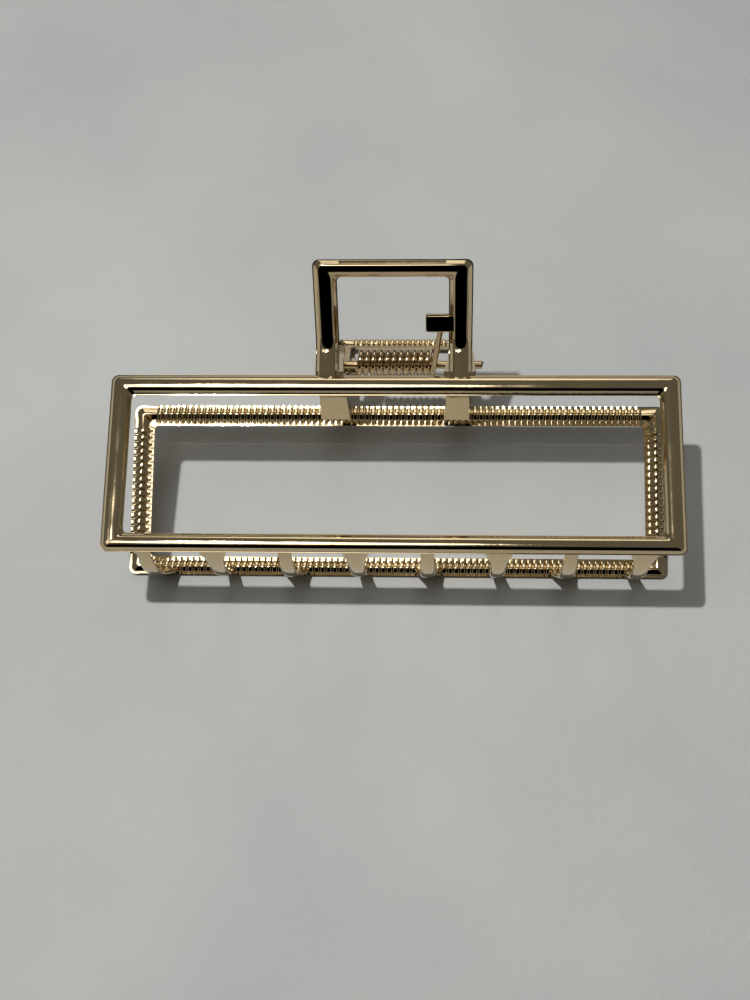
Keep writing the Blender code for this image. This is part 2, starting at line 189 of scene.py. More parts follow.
# ---- stage ----
TABLE_HALF = 1.2           # metres
TABLE_DROP = 0.0002
CAMERA_FROM_PIN = (10.13, -83.77, 262.38)  # millimetres along the clip's own axes
CAMERA_TURN = (12.2754, 2.8020, 0.9128)    # degrees
CAMERA_LENS = 51.0
CAMERA_SENSOR = 36.0
LAMP_PLACE = (-0.153, 0.0, 0.74)
LAMP_WATTS = 13.6
LAMP_RADIUS = 0.009
LAMP_COLOUR = (1.0, 0.985, 0.95)

# ---- values worked out from the sizes above ----
JAW_LEAN = math.asin((JAW_GAP_BOTTOM - JAW_GAP_TOP) / FRAME_HEIGHT)
CORNER_CLEAR = CORNER_RADIUS_INNER * 0.5  # the ribs end this far before a corner
POST_INNER = LOOP_WIDTH / 2 - POST_WIDTH
EAR_RADIUS = PIN_RADIUS + EAR_WALL
EAR_INNER = LOOP_WIDTH / 2 - EAR_INSET
EAR_OUTER = EAR_INNER + 2 * EAR_THICKNESS + EAR_GAP
COIL_RADIUS = PIN_RADIUS + COIL_PLAY + WIRE_RADIUS
COIL_U = PIN_U + COIL_PLAY - PIN_CLEARANCE
COIL_HALF_LENGTH = EAR_INNER - COIL_SIDE_GAP - WIRE_RADIUS
COIL_TURNS = int(2 * COIL_HALF_LENGTH / COIL_PITCH)
TOOTH_PITCH = (FRAME_WIDTH - 2 * TOOTH_END) / (2 * TEETH_PER_JAW - 1)
TOOTH_REACH = JAW_GAP_BOTTOM - RAIL_DEPTH - TOOTH_TIP_GAP


# ---------------------------------------------------------------- placing

def clip_to_world():
    """Clip millimetres to world metres. The pin and the jaws' flat lips say where the clip lies."""
    low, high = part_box("hinge_pin")
    pin = (Vector(low) + Vector(high)) / 2
    mounts = {mount["name"]: mount for mount in frame["record"]["mounts"]}
    up = Vector(mounts["back_jaw_lip"]["axis"]) - Vector(mounts["front_jaw_lip"]["axis"])
    up.normalize()
    along = Vector((1.0, 0.0, 0.0))
    towards_loop = up.cross(along)
    turn = Matrix((along, towards_loop, up)).transposed().to_4x4()
    place = Matrix.Translation((0.0, pin.y, pin.z)) @ turn
    return place @ Matrix.Scale(MM, 4) @ Matrix.Translation((0.0, -PIN_U, 0.0))


CLIP = clip_to_world()
HALF_TURN = Matrix.Rotation(math.pi, 4, "Y")


def jaw_point(x, down, height):
    """Frame coordinates to clip axes: down from the top edge, height above the back of the rail."""
    front = height - RAIL_DEPTH
    u = -down * math.cos(JAW_LEAN) + front * math.sin(JAW_LEAN)
    w = JAW_GAP_TOP + down * math.sin(JAW_LEAN) + front * math.cos(JAW_LEAN)
    return Vector((x, u, w))


def bend_origin(bend_start, lean, angle):
    """Where the front of a post is when its bend has turned to this angle."""
    u = bend_start * math.cos(lean) + LOOP_BEND_RADIUS * (math.sin(angle) - math.sin(lean))
    w = bend_start * math.sin(lean) - LOOP_BEND_RADIUS * (math.cos(angle) - math.cos(lean))
    return Vector((u, w))


def loop_point(x, along, height):
    """Finger loop coordinates to clip axes: along the bent post from the top rail's edge."""
    bend_length = LOOP_BEND_RADIUS * LOOP_LEAN
    bend_start = LOOP_NECK - bend_length / 2
    lean = -JAW_LEAN
    if along <= bend_start:
        origin, angle, run = Vector((0.0, 0.0)), lean, along
    elif along < bend_start + bend_length:
        angle = lean + (along - bend_start) / LOOP_BEND_RADIUS
        origin, run = bend_origin(bend_start, lean, angle), 0.0
    else:
        angle = lean + LOOP_LEAN
        origin, run = bend_origin(bend_start, lean, angle), along - bend_start - bend_length
    front = height - RAIL_DEPTH - LOOP_SINK
    u = origin.x + run * math.cos(angle) - front * math.sin(angle)
    w = origin.y + run * math.sin(angle) + front * math.cos(angle)
    return Vector((x, u, JAW_GAP_TOP + w))


# ---------------------------------------------------------------- mesh tools

def skin(rows, close_rows=False, cap_ends=True):
    """Points and faces of a tube through rows of points. Each row is a closed loop."""
    count = len(rows[0])
    points = [tuple(point) for row in rows for point in row]
    faces = []
    pairs = [(i, i + 1) for i in range(len(rows) - 1)]
    if close_rows:
        pairs.append((len(rows) - 1, 0))
    for one, two in pairs:
        for i in range(count):
            j = (i + 1) % count
            faces.append((one * count + i, one * count + j, two * count + j, two * count + i))
    if cap_ends:
        last = (len(rows) - 1) * count
        faces.append(tuple(range(count - 1, -1, -1)))
        faces.append(tuple(last + i for i in range(count)))
    return points, faces


def joined(shapes):
    """Several skins as one set of points and faces."""
    points, faces = [], []
    for more_points, more_faces in shapes:
        start = len(points)
        points += more_points
        faces += [tuple(start + i for i in face) for face in more_faces]
    return points, faces


def closed_mesh(name, shape):
    """Mesh of a closed skin with its faces looking outwards."""
    points, faces = shape
    mesh = bpy.data.meshes.new(name)
    mesh.from_pydata(points, [], faces)
    mesh.update()
    if signed_volume(mesh) < 0:
        mesh.flip_normals()
    return mesh


def mesh_object(name, shape):
    piece = bpy.data.objects.new(name, closed_mesh(name, shape))
    bpy.context.scene.collection.objects.link(piece)
    return piece


def signed_volume(mesh):
    """Six times the volume, negative when the faces point inwards."""
    mesh.calc_loop_triangles()
    points = np.empty(len(mesh.vertices) * 3)
    mesh.vertices.foreach_get("co", points)
    points = points.reshape(-1, 3)
    corners = np.empty(len(mesh.loop_triangles) * 3, dtype=np.int32)
    mesh.loop_triangles.foreach_get("vertices", corners)
    a, b, c = (points[corners.reshape(-1, 3)[:, i]] for i in range(3))
    return float(np.einsum("ij,ij->", a, np.cross(b, c)))


def combine(piece, other, operation):
    """Boolean of two closed solids. The second one is used up."""
    step = piece.modifiers.new(operation.lower(), "BOOLEAN")
    step.operation = operation
    step.solver = "MANIFOLD"
    step.object = other
    bpy.context.view_layer.update()
    graph = bpy.context.evaluated_depsgraph_get()
    result = bpy.data.meshes.new_from_object(piece.evaluated_get(graph))
    piece.modifiers.clear()
    piece.data = result
    bpy.data.objects.remove(other)


def smooth(mesh, degrees):
    """Smooth shading, but for edges sharper than this."""
    mesh.shade_smooth()
    mesh.set_sharp_from_angle(angle=math.radians(degrees))


def rounded(corners):
    """Closed outline of arcs and straight runs through corners given as (x, y, radius, steps)."""
    outline = []
    count = len(corners)
    for i, (x, y, radius, steps) in enumerate(corners):
        here = Vector((x, y))
        before = Vector(corners[i - 1][:2]) - here
        after = Vector(corners[(i + 1) % count][:2]) - here
        if steps == 0:
            outline.append((x, y))
            continue
        half = before.angle(after) / 2
        run = min(radius / math.tan(half), before.length * 0.49, after.length * 0.49)
        start, end = here + before.normalized() * run, here + after.normalized() * run
        for step in range(steps + 1):
            share = step / steps
            near = start.lerp(here, share).lerp(here.lerp(end, share), share)
            outline.append((near.x, near.y))
    return outline


# ---------------------------------------------------------------- rails

def dome_point(tilt):
    """Where a rail's rounded front leans outwards by this angle, as (across, height)."""
    crest = min(abs(tilt), CREST_TILT)
    side = CREST_RADIUS * math.sin(crest) + SHOULDER_RADIUS * (math.sin(abs(tilt)) - math.sin(crest))
    drop = CREST_RADIUS * (1 - math.cos(crest)) + SHOULDER_RADIUS * (math.cos(crest) - math.cos(tilt))
    return RAIL_WIDTH / 2 - math.copysign(side, tilt), RAIL_DEPTH - drop


def bead_section():
    """Half-round bead with flattened flanks: (side from +1 to -1, rise from 0 to 1, lean)."""
    leans = [0.0]
    heights = [0.0]
    for step in range(1, BEAD_STEPS + 1):
        side = step / BEAD_STEPS
        flank = FLANK_LEAN * min(1.0, side / FLANK_START)
        foot = (FOOT_LEAN - FLANK_LEAN) * max(0.0, (side - FLANK_END) / FOOT_SHARE)
        leans.append(flank + foot)
        heights.append(heights[-1] - math.tan((leans[-1] + leans[-2]) / 2) / BEAD_STEPS)
    rises = [1.0 - height / heights[-1] for height in heights]
    right = [(step / BEAD_STEPS, rises[step], leans[step]) for step in range(BEAD_STEPS, -1, -1)]
    return right + [(-side, rise, -lean) for side, rise, lean in reversed(right[:-1])]


def rail_profile():
    """Section of a rail, from the outer edge over the front and round the bead along the back.

    Each point is (across, height, share of the ribs' relief, direction of the relief)."""
    tilts = list(DOME_TILTS) + [-tilt for tilt in reversed(DOME_TILTS[:-1])]
    dome = [dome_point(math.radians(tilt)) for tilt in tilts]
    foot, thin = FLANGE_WIDTH, FLANGE_THICKNESS
    corners = [(0.0, 0.0, 0.0, 0), (0.0, thin, FLANGE_ROUNDING, 2), (foot, thin, FLANGE_HOLLOW, 3)]
    corners += [(*point, 0.0, 0) for point in dome]
    corners += [(RAIL_WIDTH - foot, thin, FLANGE_HOLLOW, 3), (RAIL_WIDTH, thin, FLANGE_ROUNDING, 2)]
    corners.append((RAIL_WIDTH, 0.0, 0.0, 0))
    outline = [(across, height, 0.0, 0.0) for across, height in rounded(corners)]
    outline[0] = (0.0, 0.0, RIB_ON_LIP, 0.0)
    start, end = RAIL_WIDTH - LIP_INNER, LIP_OUTER
    outline.append((start + FOOT_GAP_INNER, FOOT_DEPTH, 0.0, 0.0))
    half = (start - end) / 2
    for share, rise, lean in bead_section():
        outline.append(((start + end) / 2 + half * share, -BEAD_HEIGHT * rise, 1.0, lean))
    outline.append((end - FOOT_GAP_OUTER, 0.0, RIB_ON_LIP, 0.0))
    return outline


def corner_radius(across):
    """Radius of the frame's corner for the ring this far across the rail."""
    middle = CORNER_RADIUS_MIDDLE
    share = across / RAIL_WIDTH
    if share < 0.5:
        return CORNER_RADIUS_OUTER + (middle - CORNER_RADIUS_OUTER) * share * 2
    return middle + (CORNER_RADIUS_INNER - middle) * (share * 2 - 1)


def rib_relief(distance, pitch):
    """Height of the ribs at this distance from a groove: wide rounded ribs and narrow grooves."""
    from_groove = abs((distance + pitch / 2) % pitch - pitch / 2)
    swell = RIB_SWELL * (0.5 - 0.5 * math.cos(FULL_TURN * distance / pitch))
    return swell - RIB_GROOVE * math.exp(-((from_groove / RIB_GROOVE_WIDTH) ** 2))


def rib_stations(low, high, pitch):
    """Whole ribs between two ends: (place, relief) at every station."""
    count = round((high - low) / pitch)
    fitted = (high - low) / count
    half = [share * fitted / 2 for share in RIB_STEPS]
    steps = half + [fitted - step for step in reversed(half[1:-1])]
    stations = [(index * fitted + step) for index in range(count) for step in steps]
    stations.append(high - low)
    return [(low + distance, rib_relief(distance, fitted)) for distance in stations]


def frame_path(across):
    """Stations round the frame for the ring this far across: (x, down, relief, way inwards)."""
    side = across * SIDE_RAIL_WIDTH / RAIL_WIDTH
    bottom = across * BOTTOM_RAIL_WIDTH / RAIL_WIDTH
    radius = corner_radius(across)
    left, right = -FRAME_WIDTH / 2 + side, FRAME_WIDTH / 2 - side
    top, low = across, FRAME_HEIGHT - bottom
    rib_x = FRAME_WIDTH / 2 - SIDE_RAIL_WIDTH - CORNER_CLEAR
    rib_top = RAIL_WIDTH + CORNER_CLEAR
    rib_low = FRAME_HEIGHT - BOTTOM_RAIL_WIDTH - CORNER_CLEAR
    long_ribs = rib_stations(-rib_x, rib_x, RIB_PITCH_ALONG)
    side_ribs = rib_stations(rib_top, rib_low, RIB_PITCH_SIDE)
    path = [(x, top, relief, (0, 1)) for x, relief in long_ribs]
    path += corner_stations(right - radius, top + radius, radius, 3)
    path += [(right, down, relief, (-1, 0)) for down, relief in side_ribs]
    path += corner_stations(right - radius, low - radius, radius, 0)
    path += [(x, low, relief, (0, -1)) for x, relief in reversed(long_ribs)]
    path += corner_stations(left + radius, low - radius, radius, 1)
    path += [(left, down, relief, (1, 0)) for down, relief in reversed(side_ribs)]
    path += corner_stations(left + radius, top + radius, radius, 2)
    return path


def corner_stations(centre_x, centre_down, radius, start_turn):
    """Quarter circle that starts after this many quarter turns. A corner has no ribs."""
    stations = []
    for step in range(CORNER_STEPS + 1):
        angle = (start_turn + step / CORNER_STEPS) * math.pi / 2
        x, down = centre_x + radius * math.cos(angle), centre_down + radius * math.sin(angle)
        stations.append((x, down, 0.0, (0, 0)))
    return stations


def relieved(station, height, share, lean):
    """A station's point with the ribs' relief: (x, distance, height)."""
    x, distance, relief, inward = station
    out = relief * share
    aside = out * math.sin(lean)
    return x + inward[0] * aside, distance + inward[1] * aside, height - out * math.cos(lean)


def frame_shape():
    """Rectangular frame: rings round the window, one for each point of the rail's section."""
    rings = []
    for across, height, share, lean in rail_profile():
        path = frame_path(across)
        rings.append([jaw_point(*relieved(station, height, share, lean)) for station in path])
    return skin(rings, close_rows=True, cap_ends=False)


def loop_stations(across):
    """Up one post, over the top bar and down the other: (x, along, relief, way inwards)."""
    radius = corner_radius(across)
    half = LOOP_WIDTH / 2 - across * POST_WIDTH / RAIL_WIDTH
    top = LOOP_NECK + LOOP_FLARE - across * LOOP_BAR_WIDTH / RAIL_WIDTH
    rib_low = LOOP_NECK - LOOP_BEND_RADIUS
    rib_high = LOOP_NECK + LOOP_FLARE - LOOP_BAR_WIDTH - CORNER_CLEAR
    rib_x = POST_INNER - CORNER_CLEAR
    post = rib_stations(rib_low, rib_high, RIB_PITCH_LOOP)
    bar = rib_stations(-rib_x, rib_x, RIB_PITCH_LOOP)
    path = [(half, -LOOP_ROOT, 0.0, (0, 0)), (half, LOOP_START, 0.0, (0, 0))]
    path += [(half, along, relief, (-1, 0)) for along, relief in post]
    path += corner_stations(half - radius, top - radius, radius, 0)
    path += [(x, top, relief, (0, -1)) for x, relief in reversed(bar)]
    path += corner_stations(-half + radius, top - radius, radius, 1)
    path += [(-half, along, relief, (1, 0)) for along, relief in reversed(post)]
    path += [(-half, LOOP_START, 0.0, (0, 0)), (-half, -LOOP_ROOT, 0.0, (0, 0))]
    return path


def loop_shape():
    """Finger loop: the rail's section carried along the bent posts and over the top bar."""
    profile = rail_profile()
    paths = [loop_stations(point[0]) for point in profile]
    rows = []
    for station in range(len(paths[0])):
        row = []
        for path, (_, height, share, lean) in zip(paths, profile):
            row.append(loop_point(*relieved(path[station], height, share, lean)))
        rows.append(row)
    return skin(rows)


# ---------------------------------------------------------------- hinge arms, lug, teeth

def tangent_angle(u, w, side):
    """Angle on the ear's circle where the straight edge from (u, w) touches it."""
    away = math.hypot(u - PIN_U, w)
    return math.atan2(w, u - PIN_U) + side * math.acos(EAR_RADIUS / away)


def ear_outline():
    """Outline of an arm as (u, w): round the pin, then out to the back of the top rail and the neck."""
    root_low = jaw_point(0, RAIL_WIDTH - LIP_INNER, ARM_SINK)
    root_high = loop_point(0, LOOP_NECK * ARM_RISE, ARM_SINK)
    mouth = jaw_point(0, RAIL_WIDTH - LIP_INNER, 0)
    outline = [(root_high.y, root_high.z), (root_low.y, root_low.z), (mouth.y, mouth.z)]
    low_angle = tangent_angle(mouth.y, mouth.z, 1) - FULL_TURN
    high_angle = tangent_angle(root_high.y, root_high.z, -1)
    for step in range(EAR_STEPS + 1):
        angle = low_angle + (high_angle - low_angle) * step / EAR_STEPS
        outline.append((PIN_U + EAR_RADIUS * math.cos(angle), EAR_RADIUS * math.sin(angle)))
    return outline


def ear_shape(x_low, x_high):
    """Arm plate with rounded edges."""
    outline = [Vector(point) for point in ear_outline()]
    middle = sum(outline, Vector((0.0, 0.0))) / len(outline)
    edge = EAR_EDGE
    rows = []
    for x, inset in (
        (x_low, edge), (x_low + edge * 0.3, edge * 0.3), (x_low + edge, 0.0),
        (x_high - edge, 0.0), (x_high - edge * 0.3, edge * 0.3), (x_high, edge),
    ):
        row = []
        for point in outline:
            inward = middle - point
            spot = point + inward.normalized() * inset
            row.append(Vector((x, spot.x, spot.y)))
        rows.append(row)
    return skin(rows)


def gusset_shape(x_low, x_high, ear_low, ear_high):
    """Wide root of an arm. It narrows towards the pin and stops clear of the neighbouring ear."""
    outline = ear_outline()
    root_high, root_low, mouth = (Vector(point) for point in outline[:3])
    stop = EAR_RADIUS + EAR_GAP + ARM_STEP
    near = []
    for point, edge in ((mouth, Vector(outline[3])), (root_high, Vector(outline[-1]))):
        direction = (edge - point).normalized()
        run = (edge - point).length - math.sqrt(stop ** 2 - EAR_RADIUS ** 2)
        near.append(point + direction * run)
    centre = Vector((PIN_U, 0.0))
    middle = centre + ((near[0] + near[1]) / 2 - centre).normalized() * stop
    rows = []
    for low, high in ((x_low, ear_low), (x_high, ear_high)):
        row = [Vector((low, p.x, p.y)) for p in (root_high, root_low, mouth)]
        row += [Vector((high, p.x, p.y)) for p in (near[0], middle, near[1])]
        rows.append(row)
    return skin(rows)


def lug_shape():
    """Bevelled block on the inner side of the post at +x, which the spring's leg pushes."""
    x_high = POST_INNER + POST_WIDTH / 2
    x_low = POST_INNER - LUG_REACH
    along = LOOP_NECK + LUG_START
    top = RAIL_DEPTH - LUG_SINK
    bevel = LUG_BEVEL
    rows = []
    for height, inset in (
        (top - LUG_THICKNESS, bevel), (top - LUG_THICKNESS + bevel * 0.3, bevel * 0.3),
        (top - LUG_THICKNESS + bevel, 0.0), (top - bevel, 0.0), (top - bevel * 0.3, bevel * 0.3),
        (top, bevel),
    ):
        corners = [
            (x_low + inset, along + inset, bevel, 3), (x_high, along + inset, 0.0, 0),
            (x_high, along + LUG_LENGTH - inset, 0.0, 0),
            (x_low + inset, along + LUG_LENGTH - inset, bevel, 3),
        ]
        rows.append([loop_point(x, run, height) for x, run in rounded(corners)])
    return skin(rows)


def tooth_line(share):
    """Middle line of a tooth as (u, w), from inside the bottom rail to the tip."""
    start = jaw_point(0, FRAME_HEIGHT - RAIL_WIDTH * 0.28, RAIL_DEPTH * 0.1)
    bottom = -FRAME_HEIGHT * math.cos(JAW_LEAN)
    lowest = bottom - TOOTH_DIP + TOOTH_THICKNESS / 2
    w = start.z + (-TOOTH_REACH - start.z) * share
    swing = start.z if w > 0 else TOOTH_REACH
    rise = start.y - lowest if w > 0 else TOOTH_DIP + TOOTH_TIP_RISE
    return lowest + rise * abs(w / swing) ** TOOTH_SWEEP, w


def tooth_width(share):
    """Flared root, even middle, narrower tip."""
    flare = (TOOTH_ROOT_WIDTH - TOOTH_WIDTH) * math.exp(-((share / TOOTH_FLARE_SHARE) ** 2))
    narrow = (TOOTH_WIDTH - TOOTH_TIP_WIDTH) * max(0.0, (share - 0.5) / 0.5) ** 1.5
    return TOOTH_WIDTH + flare - narrow


def tooth_shape(x_middle):
    """Curved tooth with an oval section, a flared root and a rounded tip."""
    shares = [(step / TOOTH_STEPS) ** 0.8 for step in range(TOOTH_STEPS)] + [0.993, 0.997, 0.9995]
    tip = Vector(tooth_line(1.0))
    rows = []
    for share in sorted(shares):
        here, ahead = Vector(tooth_line(share)), Vector(tooth_line(share + TOOTH_LOOK_AHEAD))
        travel = (ahead - here).normalized()
        across = Vector((travel.y, -travel.x))
        left = (tip - here).length
        width = tooth_width(share) * round_off(left, TOOTH_TIP_WIDTH / 2)
        thickness = TOOTH_THICKNESS * round_off(left, TOOTH_THICKNESS * 0.6)
        row = []
        for side in range(TOOTH_SIDES):
            angle = FULL_TURN * side / TOOTH_SIDES
            x = math.copysign(abs(math.cos(angle)) ** 0.8, math.cos(angle)) * width / 2
            y = math.copysign(abs(math.sin(angle)) ** 0.9, math.sin(angle)) * thickness / 2
            point = here + across * y
            row.append(Vector((x_middle + x, point.x, point.y)))
        rows.append(row)
    return skin(rows)


def round_off(left, radius):
    """Share of the full size at this distance from a rounded end."""
    if left >= radius:
        return 1.0
    return math.sqrt(1 - (1 - left / radius) ** 2)


def tooth_positions():
    """Every other place along the frame. The other jaw's teeth take the places between."""
    first = -(TEETH_PER_JAW * 2 - 1) / 2
    return [(first + 2 * index + 1) * TOOTH_PITCH for index in range(TEETH_PER_JAW)]


def cylinder_shape(radius, x_low, x_high, sides):
    """Cylinder round the pin's axis."""
    rows = []
    for x in (x_low, x_high):
        angles = [FULL_TURN * side / sides for side in range(sides)]
        rows.append([Vector((x, PIN_U + radius * math.cos(a), radius * math.sin(a))) for a in angles])
    return skin(rows)


def wave_casting(mesh):
    """Slow waviness, as left by casting and polishing, so that long reflections wander a little."""
    for vert in mesh.vertices:
        where = vert.co * WAVE_SCALE
        vert.co.x += CAST_WAVE * noise.noise(where)
        vert.co.y += CAST_WAVE * noise.noise(where + Vector((31.0, 0.0, 0.0)))
        vert.co.z += CAST_WAVE * noise.noise(where + Vector((0.0, 47.0, 0.0)))


def casting_mesh():
    """One jaw in clip millimetres: frame, loop, lug, teeth, arms and the bore for the pin."""
    casting = mesh_object("casting", frame_shape())
    combine(casting, mesh_object("loop", loop_shape()), "UNION")
    plates = [
        ear_shape(EAR_OUTER - EAR_THICKNESS, EAR_OUTER),
        ear_shape(-EAR_INNER - EAR_THICKNESS, -EAR_INNER), lug_shape(),
    ]
    plates += [tooth_shape(x) for x in tooth_positions()]
    combine(casting, mesh_object("plates", joined(plates)), "UNION")
    root_in = EAR_INNER - ARM_SPREAD_IN
    tucked = LOOP_WIDTH / 2 - ARM_TUCK
    roots = [
        gusset_shape(root_in, EAR_OUTER + ARM_SPREAD_OUT, EAR_INNER, EAR_OUTER + EAR_OVERLAP),
        gusset_shape(-tucked, -root_in, -tucked + ARM_SPREAD_OUT, -EAR_INNER + EAR_OVERLAP),
    ]
    combine(casting, mesh_object("roots", joined(roots)), "UNION")
    reach = EAR_OUTER + BORE_OVERRUN
    bore = mesh_object("bore", cylinder_shape(PIN_RADIUS + PIN_CLEARANCE, -reach, reach, BORE_SIDES))
    combine(casting, bore, "DIFFERENCE")
    mesh = casting.data
    bpy.data.objects.remove(casting)
    wave_casting(mesh)
    return mesh


# ---------------------------------------------------------------- pin and spring

def pin_shape():
    """Plain pin: one end rounded off, the other one nipped off at a slant."""
    low, high = -EAR_OUTER - PIN_HEAD, EAR_OUTER + PIN_TAIL
    rows = []
    for x, radius, slant in (
        (low, 0.45, 0.0), (low + 0.05, 0.62, 0.0), (low + 0.2, PIN_RADIUS, 0.0),
        (high - 0.55, PIN_RADIUS, 0.05), (high - 0.22, 0.72, 0.12), (high - 0.12, 0.62, 0.14),
    ):
        row = []
        for side in range(PIN_SIDES):
            angle = FULL_TURN * side / PIN_SIDES
            lean = slant * math.cos(angle)
            row.append(Vector((x + lean, PIN_U + radius * math.cos(angle), radius * math.sin(angle))))
        rows.append(row)
    return skin(rows)


def leg_end():
    """Where the spring's leg ends behind the lug, as (u, w)."""
    back = RAIL_DEPTH - LUG_SINK - LUG_THICKNESS - WIRE_RADIUS - LEG_CLEARANCE
    point = loop_point(0, LOOP_NECK + LUG_START + LUG_LENGTH * 0.55, back)
    return point.y, point.z


def spring_line():
    """Middle line of the wire: lower leg, coil, upper leg."""
    end_u, end_w = leg_end()
    away = math.hypot(end_u - COIL_U, end_w)
    touch = math.atan2(end_w, end_u - COIL_U) + math.acos(COIL_RADIUS / away)
    total = FULL_TURN - 2 * touch + FULL_TURN * COIL_TURNS
    leg_x = POST_INNER - LEG_INSET
    coil = []
    count = COIL_TURNS * COIL_STEPS
    for step in range(count + 1):
        share = step / count
        angle = touch + total * (1 - share)
        x = COIL_HALF_LENGTH * (2 * share - 1)
        coil.append(Vector((x, COIL_U + COIL_RADIUS * math.cos(angle), COIL_RADIUS * math.sin(angle))))
    low_end, high_end = Vector((-leg_x, end_u, -end_w)), Vector((leg_x, end_u, end_w))
    low_leg = [low_end.lerp(coil[0], step / LEG_STEPS) for step in range(LEG_STEPS)]
    high_leg = [coil[-1].lerp(high_end, (step + 1) / LEG_STEPS) for step in range(LEG_STEPS)]
    return low_leg + coil + high_leg


def spring_shape():
    """Round wire along the spring's line, with both ends slightly bevelled."""
    line = spring_line()
    last = len(line) - 1
    side = Vector((1.0, 0.0, 0.0))
    rows = []
    for index, point in enumerate(line):
        travel = (line[min(index + 1, last)] - line[max(index - 1, 0)]).normalized()
        one = (side - travel * side.dot(travel)).normalized()
        two = travel.cross(one)
        rings = [(0.0, WIRE_RADIUS)]
        if index == 0:
            rings = [(0.0, WIRE_RADIUS * 0.8), (WIRE_END_BEVEL, WIRE_RADIUS)]
        elif index == last:
            rings = [(-WIRE_END_BEVEL, WIRE_RADIUS), (0.0, WIRE_RADIUS * 0.8)]
        for shift, radius in rings:
            row = []
            for step in range(WIRE_SIDES):
                angle = FULL_TURN * step / WIRE_SIDES
                outwards = one * math.cos(angle) + two * math.sin(angle)
                row.append(point + travel * shift + radius * outwards)
            rows.append(row)
    return skin(rows)


# ---------------------------------------------------------------- materials

def add_node(material, kind):
    return material.node_tree.nodes.new(kind)


def new_material(name):
    """Node material: the material, its shader and the object's own coordinates."""
    material = bpy.data.materials.new(name)
    material.use_nodes = True
    shader = material.node_tree.nodes["Principled BSDF"]
    place = add_node(material, "ShaderNodeTexCoord").outputs["Object"]
    return material, shader, place


def noise_pattern(material, place, scale, detail=2.0):
    pattern = add_node(material, "ShaderNodeTexNoise")
    pattern.inputs["Scale"].default_value = scale
    pattern.inputs["Detail"].default_value = detail
    material.node_tree.links.new(place, pattern.inputs["Vector"])
    return pattern.outputs["Fac"]


def two_tones(material, factor, dark, light):
    """Colour that goes softly from dark to light with the factor."""
    ramp = add_node(material, "ShaderNodeValToRGB")
    for element, position, colour in zip(ramp.color_ramp.elements, (0.3, 0.7), (dark, light)):
        element.position = position
        element.color = (*colour, 1.0)
    material.node_tree.links.new(factor, ramp.inputs["Fac"])
    return ramp.outputs["Color"]


def map_range(material, value, source, target=(0.0, 1.0)):
    mapping = add_node(material, "ShaderNodeMapRange")
    mapping.inputs["From Min"].default_value, mapping.inputs["From Max"].default_value = source
    mapping.inputs["To Min"].default_value, mapping.inputs["To Max"].default_value = target
    material.node_tree.links.new(value, mapping.inputs["Value"])
    return mapping.outputs["Result"]


def bump(material, height, strength, distance, normal=None):
    relief = add_node(material, "ShaderNodeBump")
    relief.inputs["Strength"].default_value = strength
    relief.inputs["Distance"].default_value = distance
    material.node_tree.links.new(height, relief.inputs["Height"])
    if normal:
        material.node_tree.links.new(normal, relief.inputs["Normal"])
    return relief.outputs["Normal"]


def plating(name, colour, roughness, grain, pits):
    """Bright plating: fine orange peel, casting pits, and slightly cloudy roughness and tint."""
    material, shader, place = new_material(name)
    link = material.node_tree.links.new
    shader.inputs["Metallic"].default_value = 1.0
    cloud = noise_pattern(material, place, 160.0, 3.0)
    dull = [channel * 0.93 for channel in colour]
    link(two_tones(material, cloud, dull, colour), shader.inputs["Base Color"])
    gloss = map_range(material, cloud, (0.35, 0.75), (roughness, roughness * 2.2))
    link(gloss, shader.inputs["Roughness"])

    peel = noise_pattern(material, place, 1500.0, 4.0)
    pit = add_node(material, "ShaderNodeTexVoronoi")
    pit.inputs["Scale"].default_value = 700.0
    link(place, pit.inputs["Vector"])
    hollow = map_range(material, pit.outputs["Distance"], (0.05, 0.35))
    normal = bump(material, peel, grain, 0.00003)
    normal = bump(material, hollow, pits, 0.00003, normal)
    link(normal, shader.inputs["Normal"])
    return material


def table_paper():
    """Pale matt table covering with a faint mottle and a soft tooth."""
    material, shader, place = new_material("table")
    link = material.node_tree.links.new
    shader.inputs["Roughness"].default_value = 0.7
    mottle = noise_pattern(material, place, 14.0, 6.0)
    link(two_tones(material, mottle, TABLE_DARK, TABLE_LIGHT), shader.inputs["Base Color"])
    tooth = noise_pattern(material, place, 500.0)
    link(bump(material, tooth, 0.5, 0.0003), shader.inputs["Normal"])
    return material


# ---------------------------------------------------------------- stage

def add_floor():
    """Pale table just under the clip."""
    half = TABLE_HALF
    corners = [(-half, -half, 0.0), (half, -half, 0.0), (half, half, 0.0), (-half, half, 0.0)]
    mesh = bpy.data.meshes.new("table")
    mesh.from_pydata(corners, [], [(0, 1, 2, 3)])
    table = bpy.data.objects.new("table", mesh)
    table.location.z = CAD_BOX[0][2] - TABLE_DROP
    bpy.context.scene.collection.objects.link(table)
    table.data.materials.append(table_paper())


def add_camera():
    """Camera held in front of the resting clip. Its place is given from the pin."""
    camera = bpy.data.objects.new("camera", bpy.data.cameras.new("camera"))
    turn = Euler([math.radians(angle) for angle in CAMERA_TURN]).to_matrix().to_4x4()
    x, u, w = CAMERA_FROM_PIN
    place = CLIP @ Matrix.Translation((x, PIN_U + u, w)) @ turn
    camera.location = place.to_translation()
    camera.rotation_euler = place.to_quaternion().to_euler()
    camera.data.sensor_fit = "VERTICAL"
    camera.data.sensor_height = CAMERA_SENSOR
    camera.data.lens = CAMERA_LENS
    camera.data.clip_start = 0.01
    bpy.context.scene.collection.objects.link(camera)
    bpy.context.scene.camera = camera


